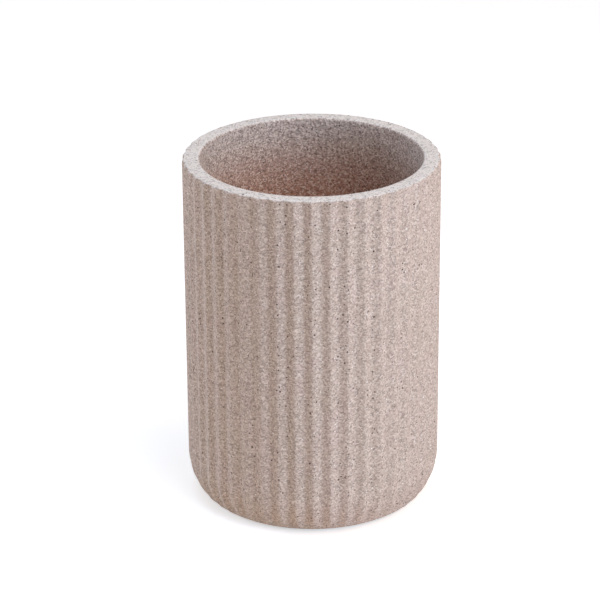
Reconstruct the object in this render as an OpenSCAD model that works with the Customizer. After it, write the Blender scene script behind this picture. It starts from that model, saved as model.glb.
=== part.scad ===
// Bathroom tumbler: a thick-walled cup cast in stone-filled resin, with upright flutes all round
// its outside that wrap under the lower corner, a smooth bore and a foam pad under its base.
// Millimetres. The cup stands on the plane z = 0, with +Z up its axis.

/* [Cup] */
// Diameter over the crests of the flutes
outer_d = 75; // [68:0.5:90]
// Height of the cast body, from its underside to the top of the rim
body_h = 105; // [80:1:140]

/* [Rim] */
// Thickness of the wall at the mouth
rim_wall = 5.2; // [4:0.1:8]
// Radius of the round on the outer edge of the rim
rim_outer_round = 1; // [0.4:0.1:1.6]
// Radius of the round on the inner edge of the rim
rim_inner_round = 0.8; // [0.4:0.1:1.6]

/* [Bore] */
// Thickness of the floor, from the underside of the body to the inside of the cup
floor_t = 7; // [5:0.5:14]
// Angle by which the bore narrows towards the floor, so that the mould's core lets go
bore_draft = 0.5; // [0:0.1:1.5]
// Radius of the corner where the bore meets the floor
bore_corner_r = 9; // [4:0.5:16]

/* [Lower corner] */
// Radius of the long arc by which the wall starts to turn in
corner_upper_r = 18; // [14:0.5:24]
// Radius of the short arc that ends in the flat underside
corner_lower_r = 5; // [3:0.5:8]
// Angle through which the long arc turns before the short one takes over
corner_turn = 34; // [26:1:42]

/* [Flutes] */
// Number of flutes around the cup
flute_count = 46; // [30:1:56]
// Depth of a flute below the crests beside it
flute_depth = 0.85; // [0.4:0.05:1.2]
// Width of the land left on each crest
crest_land = 0.5; // [0.3:0.1:1]

/* [Base pad] */
// Diameter of the foam pad under the body
pad_d = 50; // [36:1:54]
// Thickness of the foam pad
pad_t = 2; // [1.2:0.1:3]
// How far the pad stands out below the body
pad_proud = 0.6; // [0.3:0.1:1]
// Thickness of the adhesive film that holds the pad
film_t = 0.2; // [0.1:0.05:0.3]
// Clearance between the edge of the pad and the wall of its recess
pad_gap = 0.5; // [0.2:0.1:1]

/* [Hidden] */
$fn = 144;

// How far a cut runs past the surface that it opens
overrun = 1;
// How far a flute's cutter sweeps past each end of its groove, in degrees
run_out_angle = 6;

outer_r = outer_d / 2;
mouth_r = outer_r - rim_wall;

// Centres of the two arcs of the lower corner, in the half section
corner_upper_x = outer_r - corner_upper_r;
corner_upper_z = corner_upper_r * sin(corner_turn) + corner_lower_r * (1 - sin(corner_turn));
corner_lower_x = corner_upper_x + (corner_upper_r - corner_lower_r) * cos(corner_turn);
corner_lower_z = corner_lower_r;
// Point where the long arc passes into the short one
corner_join_x = corner_upper_x + corner_upper_r * cos(corner_turn);
corner_join_z = corner_upper_z - corner_upper_r * sin(corner_turn);
// Straight part of the wall, above the lower corner
wall_h = body_h - corner_upper_z;

// Straight side of the bore: it leaves the floor's corner arc and ends below the rim's inner round
bore_top_z = body_h - rim_inner_round;
bore_corner_z = floor_t + bore_corner_r;
bore_side_z = bore_corner_z - bore_corner_r * sin(bore_draft);
bore_side_x = mouth_r - (bore_top_z - bore_side_z) * tan(bore_draft);
bore_corner_x = bore_side_x - bore_corner_r * cos(bore_draft);

// A flute is a round-bottomed groove through the edges of the two lands beside it
pitch_angle = 360 / flute_count;
land_angle = crest_land / (PI * outer_d) * 360;
flute_half_angle = (pitch_angle - land_angle) / 2;
flute_edge_x = outer_r * cos(flute_half_angle);
flute_edge_y = outer_r * sin(flute_half_angle);
trough_r = outer_r - flute_depth;
flute_r = (pow(flute_edge_x - trough_r, 2) + pow(flute_edge_y, 2)) / (2 * (flute_edge_x - trough_r));
// The groove follows the long arc, and leaves the body where the short arc curls away from it
sweep_r = trough_r + flute_r - corner_upper_x;
exit_angle = acos(1 - flute_depth / (corner_upper_r - corner_lower_r));
groove_angle = corner_turn + exit_angle;
// One crest faces the front, which is -Y
front_angle = -90;

recess_r = pad_d / 2 + pad_gap;
recess_depth = pad_t + film_t - pad_proud;

// Outside of the wall in half section, from the top of the lower corner to the rim
module wall_section() {
    translate([0, corner_upper_z])
        square([outer_r, wall_h - rim_outer_round]);
    translate([0, corner_upper_z])
        square([outer_r - rim_outer_round, wall_h]);
    translate([outer_r - rim_outer_round, body_h - rim_outer_round])
        circle(r = rim_outer_round);
}

// Outside of the lower corner in half section, its underside on z = 0
module corner_section() {
    intersection() {
        translate([corner_upper_x, corner_upper_z])
            circle(r = corner_upper_r);
        translate([0, corner_join_z])
            square([outer_r, corner_upper_z - corner_join_z]);
    }
    intersection() {
        translate([corner_lower_x, corner_lower_z])
            circle(r = corner_lower_r);
        square([corner_join_x, corner_join_z]);
    }
    square([corner_lower_x, corner_upper_z]);
}

// Inside of the cup in half section, cut with the round on the rim's inner edge
module bore_section() {
    polygon([
        [0, floor_t],
        [bore_corner_x, floor_t],
        [bore_side_x, bore_side_z],
        [mouth_r, bore_top_z],
        [mouth_r, body_h + overrun],
        [0, body_h + overrun]
    ]);
    translate([bore_corner_x, bore_corner_z])
        circle(r = bore_corner_r);
    difference() {
        translate([0, bore_top_z])
            square([mouth_r + rim_inner_round, rim_inner_round + overrun]);
        translate([mouth_r + rim_inner_round, bore_top_z])
            circle(r = rim_inner_round);
    }
}

// Shallow round recess in the underside, in half section
module recess_section() {
    translate([0, -overrun])
        square([recess_r, recess_depth + overrun]);
}

// Places one child between each two neighbouring crests
module at_each_flute() {
    for (i = [0 : flute_count - 1])
        rotate(front_angle + (i + 0.5) * pitch_angle)
            translate([corner_upper_x, 0, corner_upper_z])
                children();
}

// Cast resin body with its flutes, bore and pad recess
module cup_body() {
    color("#b3a296")
        translate([0, 0, pad_proud]) {
            // Wall, grooved straight up
            difference() {
                rotate_extrude()
                    difference() {
                        wall_section();
                        bore_section();
                    }
                at_each_flute()
                    translate([sweep_r, 0, -overrun])
                        cylinder(r = flute_r, h = wall_h + 2 * overrun);
            }
            // Lower corner and floor, where each groove turns in with the long arc
            difference() {
                rotate_extrude()
                    difference() {
                        corner_section();
                        bore_section();
                        recess_section();
                    }
                at_each_flute()
                    rotate([-90, 0, 0])
                        rotate(-run_out_angle)
                            rotate_extrude(angle = groove_angle + 2 * run_out_angle)
                                translate([sweep_r, 0])
                                    circle(r = flute_r);
            }
        }
}

// Double-sided adhesive film between the pad and the top of the recess
module pad_adhesive() {
    color("#e9e4d6")
        translate([0, 0, pad_t])
            cylinder(d = pad_d, h = film_t);
}

// Round foam pad that the cup stands on
module base_pad() {
    color("#3a3a3c")
        cylinder(d = pad_d, h = pad_t);
}

cup_body();
pad_adhesive();
base_pad();
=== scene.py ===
import math

import bmesh
import bpy
from mathutils import Matrix, Vector, noise


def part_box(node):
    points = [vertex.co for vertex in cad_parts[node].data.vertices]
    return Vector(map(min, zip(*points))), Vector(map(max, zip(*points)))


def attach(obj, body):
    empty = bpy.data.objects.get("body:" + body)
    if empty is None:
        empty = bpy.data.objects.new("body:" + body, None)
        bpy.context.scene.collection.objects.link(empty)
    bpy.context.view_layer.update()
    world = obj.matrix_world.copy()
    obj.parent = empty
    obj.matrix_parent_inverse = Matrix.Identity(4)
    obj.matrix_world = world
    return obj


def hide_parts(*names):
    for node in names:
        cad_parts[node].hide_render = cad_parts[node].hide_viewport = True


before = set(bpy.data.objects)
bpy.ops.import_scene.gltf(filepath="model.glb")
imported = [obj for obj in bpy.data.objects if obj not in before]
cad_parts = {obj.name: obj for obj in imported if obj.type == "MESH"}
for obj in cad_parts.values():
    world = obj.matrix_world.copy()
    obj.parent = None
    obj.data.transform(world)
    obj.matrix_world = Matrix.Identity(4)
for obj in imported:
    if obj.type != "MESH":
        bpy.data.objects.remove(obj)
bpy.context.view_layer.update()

bl_info = {
    "name": "Fluted bathroom tumbler",
    "version": (1, 0, 0),
    "blender": (4, 5, 0),
    "location": "View3D > Sidebar > Tumbler",
    "description": "Builds a fluted tumbler cast in sandstone-look resin, its foam pad and a plain studio",
    "category": "Add Mesh",
}

MM = 0.001
BODY_LOW, BODY_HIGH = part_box("cup_body")
PAD_LOW, PAD_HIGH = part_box("base_pad")
FILM_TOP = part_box("pad_adhesive")[1].z


def hex_colour(code):
    """Turns an sRGB hex value such as c2b0a3 into linear red, green and blue."""
    shares = [int(code[i:i + 2], 16) / 255 for i in (0, 2, 4)]
    return tuple(s / 12.92 if s <= 0.04045 else ((s + 0.055) / 1.055) ** 2.4 for s in shares)


def length(name, description, default):
    return bpy.props.FloatProperty(
        name=name, description=description, default=default, min=0, unit="LENGTH", precision=5)


def angle(name, description, degrees):
    return bpy.props.FloatProperty(
        name=name, description=description, default=math.radians(degrees), subtype="ANGLE")


def colour(name, description, code):
    return bpy.props.FloatVectorProperty(
        name=name, description=description, default=hex_colour(code), size=3, min=0, max=1, subtype="COLOR")


def level(name, description, default, largest=1.0):
    return bpy.props.FloatProperty(
        name=name, description=description, default=default, min=0, max=largest)


class TumblerSizes(bpy.types.PropertyGroup):
    """Sizes of the cup and its pad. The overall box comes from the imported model."""

    outer_r: length("Outer radius", "Radius over the crests of the flutes", BODY_HIGH.y)
    underside: length("Underside", "Height of the cast body's underside above the shelf", BODY_LOW.z)
    rim: length("Rim", "Height of the rim above the shelf", BODY_HIGH.z)
    rim_wall: length("Rim wall", "Thickness of the wall at the mouth", 5.2 * MM)
    rim_outer_round: length("Outer rim round", "Round on the outer edge of the rim", 1.0 * MM)
    rim_inner_round: length("Inner rim round", "Round on the inner edge of the rim", 0.8 * MM)
    floor_t: length("Floor", "Thickness of the floor inside the cup", 7.0 * MM)
    bore_draft: angle("Bore draft", "Angle by which the bore narrows towards the floor", 0.5)
    bore_corner_r: length("Bore corner", "Radius where the bore meets the floor", 9.0 * MM)
    corner_upper_r: length("Upper corner arc", "Radius by which the wall starts to turn in", 18.0 * MM)
    corner_lower_r: length("Lower corner arc", "Radius that ends in the flat underside", 5.0 * MM)
    corner_turn: angle("Corner turn", "Angle at which the two corner arcs meet", 34)
    flute_count: bpy.props.IntProperty(name="Flutes", description="Flutes round the cup", default=46, min=3)
    flute_depth: length("Flute depth", "Depth of a flute below its crests", 0.85 * MM)
    crest_land: length("Crest land", "Width left between two flutes", 0.5 * MM)
    flute_round: length("Flute round", "How roundly the two flanks of a flute meet", 0.75 * MM)
    flute_end: angle("Flute end", "Turn round the lower corner by which a flute has faded out", 43)
    flute_fade: angle("Flute fade", "Turn through which a flute fades out", 16)
    crest_softness: length("Crest softness", "How softly the casting rounds a crest", 0.35 * MM)
    hand_waver: length("Waver", "How far the casting wavers from a true surface", 0.05 * MM)
    waver_spacing: length("Waver spacing", "Distance from one swell of the waver to the next", 9 * MM)
    recess_gap: length("Recess gap", "Clearance between the pad and its recess", 0.5 * MM)
    edge_round: length("Edge round", "Small round on the recess's and the pad's edges", 0.3 * MM)
    weld: length("Weld", "Distance under which the copied slices' points are merged", 0.002 * MM)


class TumblerColours(bpy.types.PropertyGroup):
    """Colours of the finishes, as the eye sees them under plain white light. The bore's deeper tone holds
    painted shade.
    """

    resin: colour("Resin", "Main tone of the stone-filled resin", "c2b0a3")
    resin_rosy: colour("Rosy patches", "Pinker tone of the faint patches", "c4afa5")
    mouth: colour("Mouth", "Tone of the top of the bore, greyer than further down", "c4b2a8")
    # Painted shade: the bore's tone further down is darker and warmer, as light bounced round inside the cup
    # makes it.
    bore: colour("Bore", "Tone of the bore further down, warmer than outside", "c2937f")
    # The flat of the rim is given a paler tone than the rest of the cup.
    pale_rim_tone: colour("Ground rim", "Tone of the rim, where grinding has laid the filler bare", "eae6e2")
    grain_dark: colour("Dark grains", "Sand grains darker than the resin", "75655b")
    grain_light: colour("Light grains", "Sand grains lighter than the resin", "f3e6dd")
    fleck_dark: colour("Dark flecks", "Sparse flecks of dark mineral", "4a382f")
    fleck_light: colour("Light flecks", "Sparse flecks of quartz", "fbf8f5")
    foam: colour("Foam", "Closed-cell foam of the pad", "34343a")
    film: colour("Adhesive", "Cloudy adhesive film", "e9e4d6")


class TumblerGrain(bpy.types.PropertyGroup):
    """Real sizes of the patterns in the finishes."""

    patch: length("Patches", "Width of the faint rosy patches", 12 * MM)
    grain: length("Sand grains", "Width of the sand grains", 0.38 * MM)
    dark_fleck: length("Dark flecks", "Largest radius of a dark fleck", 0.28 * MM)
    dark_spacing: length("Dark spacing", "Distance between places for a dark fleck", 1.2 * MM)
    light_fleck: length("Light flecks", "Largest radius of a quartz fleck", 0.2 * MM)
    light_spacing: length("Light spacing", "Distance between places for a quartz fleck", 1.3 * MM)
    relief: length("Relief", "Depth of the sandy relief", 0.09 * MM)
    uneven: length("Unevenness", "Width of the uneven roughness laid over the grains", 0.5 * MM)
    pale_rim: length("Ground depth", "Depth below the rim down to which its tone is fully pale", 0.08 * MM)
    pale_rim_end: length("Ground end", "Depth below the rim at which the pale tone ends", 0.3 * MM)
    # The bore's painted shade, darker and warmer further down, fades in between these two depths.
    mouth: length("Mouth depth", "Depth below the rim at which the bore starts to turn warmer", 5 * MM)
    mouth_end: length("Mouth end", "Depth below the rim at which the bore is at its warmest", 25 * MM)
    pore: length("Foam pores", "Width of the pores in the foam", 0.35 * MM)
    pore_relief: length("Pore relief", "Depth of the foam's pores", 0.08 * MM)
    cloud: length("Film clouds", "Width of the cloudy patches in the adhesive film", 4 * MM)


class TumblerStage(bpy.types.PropertyGroup):
    """Camera and light of the plain studio."""

    camera_distance: length("Camera distance", "From the middle of the cup", 825 * MM)
    camera_elevation: angle("Camera elevation", "Height of the camera above the horizon", 23.61)
    camera_lens_px: bpy.props.FloatProperty(
        name="Focal length", description="Focal length in pixels of the photograph", default=2785)
    centre_x_px: bpy.props.FloatProperty(
        name="Centre across", description="Where the middle of the cup lies across the frame", default=312.4)
    centre_y_px: bpy.props.FloatProperty(
        name="Centre down", description="Where the middle of the cup lies down the frame", default=322.1)
    camera_roll: angle("Camera roll", "Turn of the camera about its own axis", -0.29)
    key: level("Key light", "Watts of the soft box high on the right", 1.9, 100)
    front: level("Front light", "Watts of the low soft box right of the camera", 5.1, 100)
    fill: level("Fill light", "Watts of the soft box high in front on the right", 2.1, 100)
    left: level("Left light", "Watts of the low soft box on the left", 4.1, 100)
    top: level("Top light", "Watts of the soft box overhead", 3.1, 100)
    box_size: length("Soft box", "Side of each square soft box", 0.5)
    box_distance: length("Soft box distance", "From the middle of the cup to each soft box", 0.9)
    lamp: colour("Lamp", "Tint of the key light", "ffcd8e")
    window: colour("Window", "Tint of the front light", "b0dbff")
    wall: colour("Wall", "Tint of the fill light", "fff0ed")
    sky: colour("Sky", "Tint of the light overhead and on the left", "dcebff")
    room: colour("Room light", "Even light from all round", "746e67")
    floor: colour("Floor", "Plain matt floor", "f0f0f0")
    floor_bounce: colour("Floor bounce", "Tone in which the floor throws light back up", "f6e2cc")
    floor_lift: level("Floor lift", "Share of white that the camera sees added to the floor", 0.51)
    floor_drop: length("Floor drop", "Gap that keeps the floor off the pad's face", 0.02 * MM)


def corner_centres(sizes):
    """Centres of the long and the short arc of the lower corner, in the half section."""
    turn = sizes.corner_turn
    long_x = sizes.outer_r - sizes.corner_upper_r
    long_z = (sizes.underside + sizes.corner_upper_r * math.sin(turn)
              + sizes.corner_lower_r * (1 - math.sin(turn)))
    short_x = long_x + (sizes.corner_upper_r - sizes.corner_lower_r) * math.cos(turn)
    short_z = sizes.underside + sizes.corner_lower_r
    return (long_x, long_z), (short_x, short_z)


def draw_line(bm, pen, x, z, steps=1):
    """Draws a straight run of the half section from the pen to a point, and returns its end."""
    start = pen.co.copy()
    for i in range(steps):
        pen = bmesh.ops.extrude_vert_indiv(bm, verts=[pen])["verts"][0]
        pen.co = start.lerp(Vector((x, 0, z)), (i + 1) / steps)
    return pen


def draw_arc(bm, pen, centre_x, centre_z, turn, steps):
    """Swings the pen round a centre, from +X towards +Z where the turn is positive, and returns its end."""
    swung = bmesh.ops.spin(
        bm, geom=[pen], cent=(centre_x, 0, centre_z), axis=(0, -1, 0), dvec=(0, 0, 0),
        angle=turn, steps=steps, use_merge=False, use_duplicate=False)
    return next(item for item in swung["geom_last"] if isinstance(item, bmesh.types.BMVert))


def draw_outside(bm, sizes):
    """Draws the half section from the middle of the recess to the top of the rim's outer round.
    The last number in a call is how many steps its line or arc is drawn in."""
    (long_x, long_z), (short_x, short_z) = corner_centres(sizes)
    quarter = math.pi / 2
    edge = sizes.edge_round
    recess_r = PAD_HIGH.x + sizes.recess_gap
    recess_z = FILM_TOP
    outer_round = sizes.rim_outer_round
    pen = bm.verts.new((0, 0, recess_z))
    pen = draw_line(bm, pen, recess_r - edge, recess_z, 4)
    pen = draw_arc(bm, pen, recess_r - edge, recess_z - edge, -quarter, 3)
    pen = draw_line(bm, pen, recess_r, sizes.underside + edge)
    pen = draw_arc(bm, pen, recess_r + edge, sizes.underside + edge, quarter, 3)
    pen = draw_line(bm, pen, short_x, sizes.underside, 3)
    pen = draw_arc(bm, pen, short_x, short_z, quarter - sizes.corner_turn, 10)
    pen = draw_arc(bm, pen, long_x, long_z, sizes.corner_turn, 12)
    pen = draw_line(bm, pen, sizes.outer_r, sizes.rim - outer_round, 18)
    return draw_arc(bm, pen, sizes.outer_r - outer_round, sizes.rim - outer_round, quarter, 6)


def draw_inside(bm, sizes, pen):
    """Goes on with the half section over the flat of the rim and down the bore to its floor's middle.
    The last number in a call is how many steps its line or arc is drawn in."""
    quarter = math.pi / 2
    inner_round = sizes.rim_inner_round
    corner_r = sizes.bore_corner_r
    draft = sizes.bore_draft
    mouth_r = sizes.outer_r - sizes.rim_wall
    top_z = sizes.rim - inner_round
    floor_z = sizes.underside + sizes.floor_t
    side_z = floor_z + corner_r - corner_r * math.sin(draft)
    side_x = mouth_r - (top_z - side_z) * math.tan(draft)
    corner_x = side_x - corner_r * math.cos(draft)
    pen = draw_line(bm, pen, mouth_r + inner_round, sizes.rim, 3)
    pen = draw_arc(bm, pen, mouth_r + inner_round, top_z, quarter, 6)
    pen = draw_line(bm, pen, side_x, side_z, 8)
    pen = draw_arc(bm, pen, corner_x, floor_z + corner_r, draft - quarter, 8)
    draw_line(bm, pen, 0, floor_z, 5)


def softened(excess, softness):
    """Depth to which a point goes down that stands so far above a flute. It fades in softly."""
    return (excess + math.hypot(excess, softness)) / 2


def carve_flute(bm, sizes, middle_angle):
    """Sinks a groove with nearly straight flanks and a round bottom into the outside of one flute's
    slice of the cup. It runs straight down the wall and turns in with the lower corner's long arc,
    near whose end it starts to fade out. Its crests stay on the outer radius."""
    (sweep_x, sweep_z), _ = corner_centres(sizes)
    half = math.pi / sizes.flute_count
    land_half = half - sizes.crest_land / sizes.outer_r / 2
    edge_x = sizes.outer_r * math.cos(land_half)
    edge_y = sizes.outer_r * math.sin(land_half)
    bottom_x = sizes.outer_r - sizes.flute_depth
    blunt = sizes.flute_round
    flank = (edge_x - bottom_x) / (math.hypot(edge_y, blunt) - blunt)

    def excess_at(across, reach):
        return reach - (bottom_x - sweep_x) - flank * (math.hypot(across, blunt) - blunt)

    crest = excess_at(sizes.outer_r * math.sin(half), sizes.outer_r * math.cos(half) - sweep_x)
    crest_loss = softened(crest, sizes.crest_softness)
    for vert in bm.verts:
        radius = math.hypot(vert.co.x, vert.co.y)
        offset = math.atan2(vert.co.y, vert.co.x) - middle_angle
        outward = radius * math.cos(offset) - sweep_x
        down = min(vert.co.z - sweep_z, 0)
        reach = math.hypot(outward, down)
        excess = excess_at(radius * math.sin(offset), reach)
        depth = softened(excess, sizes.crest_softness) - crest_loss
        left = (sizes.flute_end - math.atan2(-down, outward)) / sizes.flute_fade
        if outward < 0 or depth < 0 or left < 0:
            continue
        if left < 1:
            depth *= left * left * (3 - 2 * left)
        side = vert.co.xy.normalized() * (depth * outward / reach)
        vert.co -= Vector((side.x, side.y, depth * down / reach))


def waver(bm, sizes):
    """Moves the surface in by up to a few hundredths of a millimetre, as a hand-finished mould does."""
    bm.normal_update()
    for vert in bm.verts:
        ripple = 0.5 + 0.5 * noise.noise(vert.co / sizes.waver_spacing)
        vert.co -= vert.normal * (ripple * sizes.hand_waver)


def cup_mesh(sizes, front_angle, steps):
    """Spins the half section through one flute's pitch, carves it, and repeats it round the cup."""
    pitch = 2 * math.pi / sizes.flute_count
    bm = bmesh.new()
    pen = draw_outside(bm, sizes)
    draw_inside(bm, sizes, pen)
    bmesh.ops.rotate(
        bm, verts=bm.verts[:], cent=(0, 0, 0), matrix=Matrix.Rotation(front_angle, 3, "Z"))
    bmesh.ops.spin(
        bm, geom=bm.verts[:] + bm.edges[:], cent=(0, 0, 0), axis=(0, 0, 1), dvec=(0, 0, 0),
        angle=pitch, steps=steps, use_merge=False, use_duplicate=False)
    carve_flute(bm, sizes, front_angle + pitch / 2)
    bmesh.ops.spin(
        bm, geom=bm.verts[:] + bm.edges[:] + bm.faces[:], cent=(0, 0, 0), axis=(0, 0, 1),
        dvec=(0, 0, 0), angle=2 * math.pi - pitch, steps=sizes.flute_count - 1,
        use_merge=False, use_duplicate=True)
    bmesh.ops.remove_doubles(bm, verts=bm.verts[:], dist=sizes.weld)
    bmesh.ops.recalc_face_normals(bm, faces=bm.faces[:])
    waver(bm, sizes)
    return bm


def finished_piece(bm, name, material):
    """Makes a bmesh an object at the origin, with its place in its mesh, that rides on the cup."""
    mesh = bpy.data.meshes.new(name)
    bm.to_mesh(mesh)
    bm.free()
    mesh.shade_smooth()
    mesh.materials.append(material)
    piece = bpy.data.objects.new(name, mesh)
    bpy.context.scene.collection.objects.link(piece)
    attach(piece, "root")
    return piece


def add_node(tree, kind, settings=None, values=None, links=None):
    """Adds a node, with its own settings, its constant sockets and what feeds the linked ones."""
    node = tree.nodes.new(kind)
    for name, value in (settings or {}).items():
        setattr(node, name, value)
    for socket, value in (values or {}).items():
        node.inputs[socket].default_value = value
    for socket, output in (links or {}).items():
        tree.links.new(output, node.inputs[socket])
    return node


def new_material(name):
    """Makes an empty node material with its shader joined to its output."""
    material = bpy.data.materials.new(name)
    material.use_nodes = True
    tree = material.node_tree
    tree.nodes.clear()
    shader = add_node(tree, "ShaderNodeBsdfPrincipled")
    add_node(tree, "ShaderNodeOutputMaterial", links={"Surface": shader.outputs["BSDF"]})
    return material, tree, shader


def opaque(rgb):
    return (*rgb, 1)


def cast_stone_resin(colours, sizes, grain):
    """Polyester resin filled with stone powder and sand, cast in a silicone mould and left matt.
    The eye sees a warm grey-pink base tone, sand grains lighter and darker than it, sparse dark and
    quartz flecks, and a fine sandy relief. Down the bore the colour turns darker and warmer: painted
    shade of the light bounced round inside the cup. The flat of the rim is in a paler tone."""
    material, tree, shader = new_material("cast_stone_resin")
    place = add_node(tree, "ShaderNodeTexCoord").outputs["Object"]
    mouth_r = sizes.outer_r - sizes.rim_wall
    inner_round = sizes.rim_inner_round

    # Faint patches, about as wide as a fingertip, where the filler has settled unevenly
    patches = add_node(
        tree, "ShaderNodeTexNoise", values={"Scale": 1 / grain.patch, "Detail": 3, "Roughness": 0.6},
        links={"Vector": place})
    settled = add_node(
        tree, "ShaderNodeMapRange", values={"From Min": 0.35, "From Max": 0.65},
        links={"Value": patches.outputs["Fac"]})
    outside = add_node(
        tree, "ShaderNodeMix", {"data_type": "RGBA"},
        {6: opaque(colours.resin), 7: opaque(colours.resin_rosy)}, {0: settled.outputs["Result"]})

    # Bore: inside the middle of the rim's inner round, and above the middle of the floor's thickness
    axes = add_node(tree, "ShaderNodeSeparateXYZ", links={"Vector": place})
    flat = add_node(
        tree, "ShaderNodeCombineXYZ", links={"X": axes.outputs["X"], "Y": axes.outputs["Y"]})
    radius = add_node(
        tree, "ShaderNodeVectorMath", {"operation": "LENGTH"}, links={0: flat.outputs["Vector"]})
    near_axis = add_node(
        tree, "ShaderNodeMapRange",
        values={"From Min": mouth_r + 0.75 * inner_round, "From Max": mouth_r + 0.25 * inner_round},
        links={"Value": radius.outputs["Value"]})
    above_floor = add_node(
        tree, "ShaderNodeMath", {"operation": "GREATER_THAN"}, {1: sizes.underside + sizes.floor_t / 2},
        {0: axes.outputs["Z"]})
    in_bore = add_node(
        tree, "ShaderNodeMath", {"operation": "MULTIPLY"},
        links={0: near_axis.outputs["Result"], 1: above_floor.outputs["Value"]}).outputs["Value"]
    # Painted shade: from these depths down the bore the tone turns darker and warmer, as bounced light
    # inside the cup does.
    bore_shade_depth = add_node(
        tree, "ShaderNodeMapRange",
        values={"From Min": sizes.rim - grain.mouth, "From Max": sizes.rim - grain.mouth_end},
        links={"Value": axes.outputs["Z"]})
    inside = add_node(
        tree, "ShaderNodeMix", {"data_type": "RGBA"},
        {6: opaque(colours.mouth), 7: opaque(colours.bore)}, {0: bore_shade_depth.outputs["Result"]})
    with_bore_shade = add_node(
        tree, "ShaderNodeMix", {"data_type": "RGBA"},
        links={0: in_bore, 6: outside.outputs[2], 7: inside.outputs[2]})

    # Flat of the rim, in a paler tone
    on_rim = add_node(
        tree, "ShaderNodeMapRange",
        values={"From Min": sizes.rim - grain.pale_rim_end, "From Max": sizes.rim - grain.pale_rim},
        links={"Value": axes.outputs["Z"]})
    pale_rim = add_node(
        tree, "ShaderNodeMix", {"data_type": "RGBA"}, {7: opaque(colours.pale_rim_tone)},
        {0: on_rim.outputs["Result"], 6: with_bore_shade.outputs[2]})

    # Sand grains, each with its own tone. They show more in the bore
    grains = add_node(
        tree, "ShaderNodeTexVoronoi", values={"Scale": 1 / grain.grain}, links={"Vector": place})
    tone = add_node(tree, "ShaderNodeSeparateColor", links={"Color": grains.outputs["Color"]})
    contrast = add_node(
        tree, "ShaderNodeMapRange", values={"To Min": 0.56, "To Max": 0.85}, links={"Value": in_bore})
    darker = add_node(
        tree, "ShaderNodeMapRange", values={"From Min": 0.42, "From Max": 0.0},
        links={"Value": tone.outputs["Red"], "To Max": contrast.outputs["Result"]})
    lighter = add_node(
        tree, "ShaderNodeMapRange", values={"From Min": 0.58, "From Max": 1.0},
        links={"Value": tone.outputs["Red"], "To Max": contrast.outputs["Result"]})
    with_dark = add_node(
        tree, "ShaderNodeMix", {"data_type": "RGBA"}, {7: opaque(colours.grain_dark)},
        {0: darker.outputs["Result"], 6: pale_rim.outputs[2]})
    surface = add_node(
        tree, "ShaderNodeMix", {"data_type": "RGBA"}, {7: opaque(colours.grain_light)},
        {0: lighter.outputs["Result"], 6: with_dark.outputs[2]})

    # Flecks of dark mineral and of quartz: about half the cells of a coarse pattern hold one each
    for largest, spacing, kept, fleck in (
            (grain.dark_fleck, grain.dark_spacing, 0.45, colours.fleck_dark),
            (grain.light_fleck, grain.light_spacing, 0.6, colours.fleck_light)):
        cells = add_node(
            tree, "ShaderNodeTexVoronoi", values={"Scale": 1 / spacing}, links={"Vector": place})
        chance = add_node(tree, "ShaderNodeSeparateColor", links={"Color": cells.outputs["Color"]})
        grain_r = add_node(
            tree, "ShaderNodeMapRange",
            values={"From Min": 1 - kept, "From Max": 1.0, "To Max": largest / spacing},
            links={"Value": chance.outputs["Green"]})
        dot = add_node(
            tree, "ShaderNodeMath", {"operation": "LESS_THAN"},
            links={0: cells.outputs["Distance"], 1: grain_r.outputs["Result"]})
        surface = add_node(
            tree, "ShaderNodeMix", {"data_type": "RGBA"}, {7: opaque(fleck)},
            {0: dot.outputs["Value"], 6: surface.outputs[2]})

    # Sandy relief of rounded grains, with an uneven roughness over it
    fine = add_node(
        tree, "ShaderNodeTexNoise", values={"Scale": 1 / grain.uneven, "Detail": 2, "Roughness": 0.6},
        links={"Vector": place})
    height = add_node(
        tree, "ShaderNodeMath", {"operation": "SUBTRACT"},
        links={0: fine.outputs["Fac"], 1: grains.outputs["Distance"]})
    bump = add_node(
        tree, "ShaderNodeBump", values={"Strength": 1.0, "Distance": grain.relief},
        links={"Height": height.outputs["Value"]})

    tree.links.new(surface.outputs[2], shader.inputs["Base Color"])
    tree.links.new(bump.outputs["Normal"], shader.inputs["Normal"])
    shader.inputs["Roughness"].default_value = 0.7
    shader.inputs["Specular IOR Level"].default_value = 0.25
    shader.inputs["IOR"].default_value = 1.5
    return material


def closed_cell_foam(colours, grain):
    """EVA foam, die-cut from sheet: matt and dark, with the fine skin and open pores of the cut."""
    material, tree, shader = new_material("closed_cell_foam")
    place = add_node(tree, "ShaderNodeTexCoord").outputs["Object"]
    pores = add_node(
        tree, "ShaderNodeTexVoronoi", values={"Scale": 1 / grain.pore}, links={"Vector": place})
    shade = add_node(
        tree, "ShaderNodeMapRange", values={"From Max": 0.5, "To Min": 0.7, "To Max": 1.0},
        links={"Value": pores.outputs["Distance"]})
    tint = add_node(
        tree, "ShaderNodeMix", {"data_type": "RGBA", "blend_type": "MULTIPLY"},
        {0: 1.0, 6: opaque(colours.foam)}, {7: shade.outputs["Result"]})
    bump = add_node(
        tree, "ShaderNodeBump", values={"Strength": 0.8, "Distance": grain.pore_relief},
        links={"Height": pores.outputs["Distance"]})
    tree.links.new(tint.outputs[2], shader.inputs["Base Color"])
    tree.links.new(bump.outputs["Normal"], shader.inputs["Normal"])
    shader.inputs["Roughness"].default_value = 0.85
    shader.inputs["IOR"].default_value = 1.5
    return material


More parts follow.
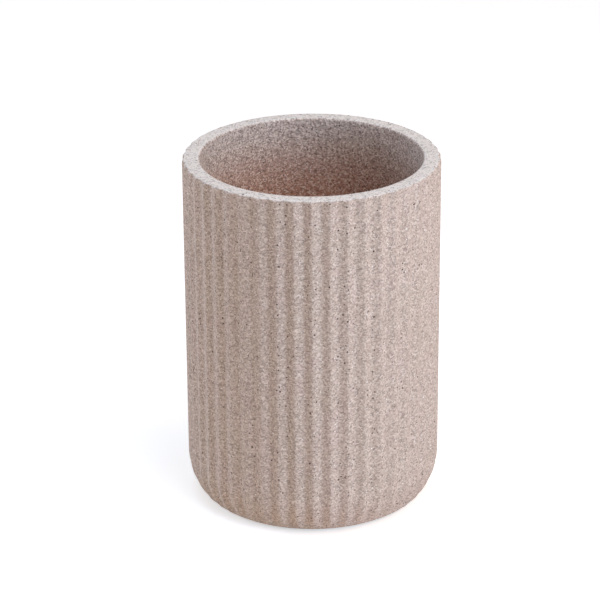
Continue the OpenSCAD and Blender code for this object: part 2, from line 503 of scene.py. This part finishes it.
def cloudy_film(colours, grain):
    """Acrylic adhesive film, rolled out thin: satin, with faint cloudy patches a few millimetres wide."""
    material, tree, shader = new_material("cloudy_film")
    place = add_node(tree, "ShaderNodeTexCoord").outputs["Object"]
    cloud = add_node(
        tree, "ShaderNodeTexNoise", values={"Scale": 1 / grain.cloud, "Detail": 3}, links={"Vector": place})
    tint = add_node(
        tree, "ShaderNodeMix", {"data_type": "RGBA"},
        {6: opaque(colours.film), 7: opaque(colours.grain_light)}, {0: cloud.outputs["Fac"]})
    tree.links.new(tint.outputs[2], shader.inputs["Base Color"])
    shader.inputs["Roughness"].default_value = 0.45
    shader.inputs["IOR"].default_value = 1.47
    return material


class TUMBLER_OT_cup_body(bpy.types.Operator):
    """Build the cast cup with its flutes, rim, bore and pad recess"""

    bl_idname = "tumbler.cup_body"
    bl_label = "Cup body"

    def execute(self, context):
        sizes = context.scene.tumbler_sizes
        colours = context.scene.tumbler_colours
        resin = cast_stone_resin(colours, sizes, context.scene.tumbler_grain)
        bm = cup_mesh(sizes, front_angle=-math.pi / 2, steps=20)
        cup = finished_piece(bm, "cup_casting", resin)
        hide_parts("cup_body")
        return {"FINISHED"}


class TUMBLER_OT_base_pad(bpy.types.Operator):
    """Build the round foam pad and finish the adhesive film that holds it"""

    bl_idname = "tumbler.base_pad"
    bl_label = "Foam pad"

    def execute(self, context):
        sizes = context.scene.tumbler_sizes
        colours = context.scene.tumbler_colours
        grain = context.scene.tumbler_grain
        pad_r = PAD_HIGH.x
        pad_t = PAD_HIGH.z - PAD_LOW.z
        bm = bmesh.new()
        bmesh.ops.create_cone(
            bm, cap_ends=True, segments=128, radius1=pad_r, radius2=pad_r, depth=pad_t,
            matrix=Matrix.Translation((0, 0, PAD_LOW.z + pad_t / 2)))
        rims = [e for e in bm.edges if abs(e.verts[0].co.z - e.verts[1].co.z) < 0.1 * pad_t]
        bmesh.ops.bevel(
            bm, geom=rims, offset=sizes.edge_round, segments=3, profile=0.5, affect="EDGES", material=-1)
        caps = [f for f in bm.faces if len(f.verts) > 4]
        rings = 4
        for _ in range(rings):
            bmesh.ops.inset_region(bm, faces=caps, thickness=pad_r / (rings + 2))
        pad = finished_piece(bm, "foam_pad", closed_cell_foam(colours, grain))
        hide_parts("base_pad")
        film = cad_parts["pad_adhesive"]
        film.data.materials.clear()
        film.data.materials.append(cloudy_film(colours, grain))
        return {"FINISHED"}


def soft_box(stage, name, watts, tint, azimuth, elevation, target):
    """Aims a square soft box at the cup. Azimuth 0 is the camera's side, 90 is the right."""
    data = bpy.data.lights.new(name, "AREA")
    data.shape = "SQUARE"
    data.size = stage.box_size
    data.energy = watts
    data.color = tint
    lamp = bpy.data.objects.new(name, data)
    bpy.context.scene.collection.objects.link(lamp)
    a, e = math.radians(azimuth), math.radians(elevation)
    away = Vector((math.sin(a) * math.cos(e), -math.cos(a) * math.cos(e), math.sin(e)))
    lamp.location = target + away * stage.box_distance
    lamp.rotation_euler = away.to_track_quat("Z", "Y").to_euler()


def plain_sight(tree):
    """Share of a ray that the camera, gloss or glass sees, rather than one that lights the cup."""
    path = add_node(tree, "ShaderNodeLightPath")
    seen = path.outputs["Is Camera Ray"]
    for ray in ("Is Glossy Ray", "Is Transmission Ray"):
        either = add_node(
            tree, "ShaderNodeMath", {"operation": "MAXIMUM"}, links={0: seen, 1: path.outputs[ray]})
        seen = either.outputs["Value"]
    return seen


def white_world(stage):
    """Even room light, which the camera, gloss and glass see as a white backdrop."""
    world = bpy.data.worlds.new("room")
    bpy.context.scene.world = world
    world.use_nodes = True
    tree = world.node_tree
    tree.nodes.clear()
    tint = add_node(
        tree, "ShaderNodeMix", {"data_type": "RGBA"}, {6: opaque(stage.room), 7: (1, 1, 1, 1)},
        {0: plain_sight(tree)})
    light = add_node(tree, "ShaderNodeBackground", links={"Color": tint.outputs[2]})
    add_node(tree, "ShaderNodeOutputWorld", links={"Surface": light.outputs["Background"]})


def pale_floor(stage):
    """Matt pale floor. What sees it plainly sees it lifted to white, with the cup's shadow kept."""
    material, tree, shader = new_material("studio_floor")
    seen = plain_sight(tree)
    tint = add_node(
        tree, "ShaderNodeMix", {"data_type": "RGBA"},
        {6: opaque(stage.floor_bounce), 7: opaque(stage.floor)}, {0: seen})
    lift = add_node(
        tree, "ShaderNodeMath", {"operation": "MULTIPLY"}, {1: stage.floor_lift}, {0: seen})
    tree.links.new(tint.outputs[2], shader.inputs["Base Color"])
    tree.links.new(lift.outputs["Value"], shader.inputs["Emission Strength"])
    shader.inputs["Emission Color"].default_value = (1, 1, 1, 1)
    shader.inputs["Roughness"].default_value = 0.9
    bm = bmesh.new()
    just_below = Matrix.Translation((0, 0, -stage.floor_drop))
    bmesh.ops.create_grid(bm, x_segments=1, y_segments=1, size=6.0, matrix=just_below)
    mesh = bpy.data.meshes.new("floor")
    bm.to_mesh(mesh)
    bm.free()
    mesh.materials.append(material)
    floor = bpy.data.objects.new("floor", mesh)
    bpy.context.scene.collection.objects.link(floor)


def photo_camera(stage, target):
    """Camera at the photograph's angle. Its shift puts the cup where the photograph has it."""
    picture = 600
    data = bpy.data.cameras.new("photo_camera")
    data.sensor_width = 36
    data.lens = stage.camera_lens_px / picture * data.sensor_width
    data.shift_x = (picture / 2 - stage.centre_x_px) / picture
    data.shift_y = (stage.centre_y_px - picture / 2) / picture
    camera = bpy.data.objects.new("photo_camera", data)
    bpy.context.scene.collection.objects.link(camera)
    e = stage.camera_elevation
    back = Vector((0, -math.cos(e), math.sin(e)))
    camera.location = target + back * stage.camera_distance
    camera.rotation_mode = "QUATERNION"
    level_view = (-back).to_track_quat("-Z", "Y").to_matrix()
    camera.rotation_quaternion = (level_view @ Matrix.Rotation(stage.camera_roll, 3, "Z")).to_quaternion()
    bpy.context.scene.camera = camera


class TUMBLER_OT_stage(bpy.types.Operator):
    """Set up the plain studio: floor, soft lights, white backdrop and camera"""

    bl_idname = "tumbler.stage"
    bl_label = "Studio"

    def execute(self, context):
        stage = context.scene.tumbler_stage
        sizes = context.scene.tumbler_sizes
        middle = Vector((0, 0, (sizes.underside + sizes.rim) / 2))
        pale_floor(stage)
        white_world(stage)
        soft_box(stage, "key_light", stage.key, stage.lamp, 80, 42, middle)
        soft_box(stage, "front_light", stage.front, stage.window, 50, 12, middle)
        soft_box(stage, "fill_light", stage.fill, stage.wall, 35, 42, middle)
        soft_box(stage, "left_light", stage.left, stage.sky, -100, 12, middle)
        soft_box(stage, "top_light", stage.top, stage.sky, 0, 85, middle)
        photo_camera(stage, middle)
        context.scene.view_settings.view_transform = "Standard"
        return {"FINISHED"}


class TUMBLER_PT_build(bpy.types.Panel):
    """Lists the tumbler's pieces, sizes and colours"""

    bl_label = "Tumbler"
    bl_idname = "TUMBLER_PT_build"
    bl_space_type = "VIEW_3D"
    bl_region_type = "UI"
    bl_category = "Tumbler"

    def draw(self, context):
        layout = self.layout
        for operator in (TUMBLER_OT_cup_body, TUMBLER_OT_base_pad, TUMBLER_OT_stage):
            layout.operator(operator.bl_idname)
        scene = context.scene
        for group in (scene.tumbler_sizes, scene.tumbler_colours, scene.tumbler_grain, scene.tumbler_stage):
            box = layout.box()
            for name in group.__annotations__:
                box.prop(group, name)


CLASSES = (
    TumblerSizes, TumblerColours, TumblerGrain, TumblerStage,
    TUMBLER_OT_cup_body, TUMBLER_OT_base_pad, TUMBLER_OT_stage, TUMBLER_PT_build)


def register():
    for cls in CLASSES:
        bpy.utils.register_class(cls)
    bpy.types.Scene.tumbler_sizes = bpy.props.PointerProperty(type=TumblerSizes)
    bpy.types.Scene.tumbler_colours = bpy.props.PointerProperty(type=TumblerColours)
    bpy.types.Scene.tumbler_grain = bpy.props.PointerProperty(type=TumblerGrain)
    bpy.types.Scene.tumbler_stage = bpy.props.PointerProperty(type=TumblerStage)


def unregister():
    del bpy.types.Scene.tumbler_sizes
    del bpy.types.Scene.tumbler_colours
    del bpy.types.Scene.tumbler_grain
    del bpy.types.Scene.tumbler_stage
    for cls in reversed(CLASSES):
        bpy.utils.unregister_class(cls)


def main():
    register()
    bpy.ops.tumbler.cup_body()
    bpy.ops.tumbler.base_pad()
    bpy.ops.tumbler.stage()


if __name__ == "__main__":
    main()
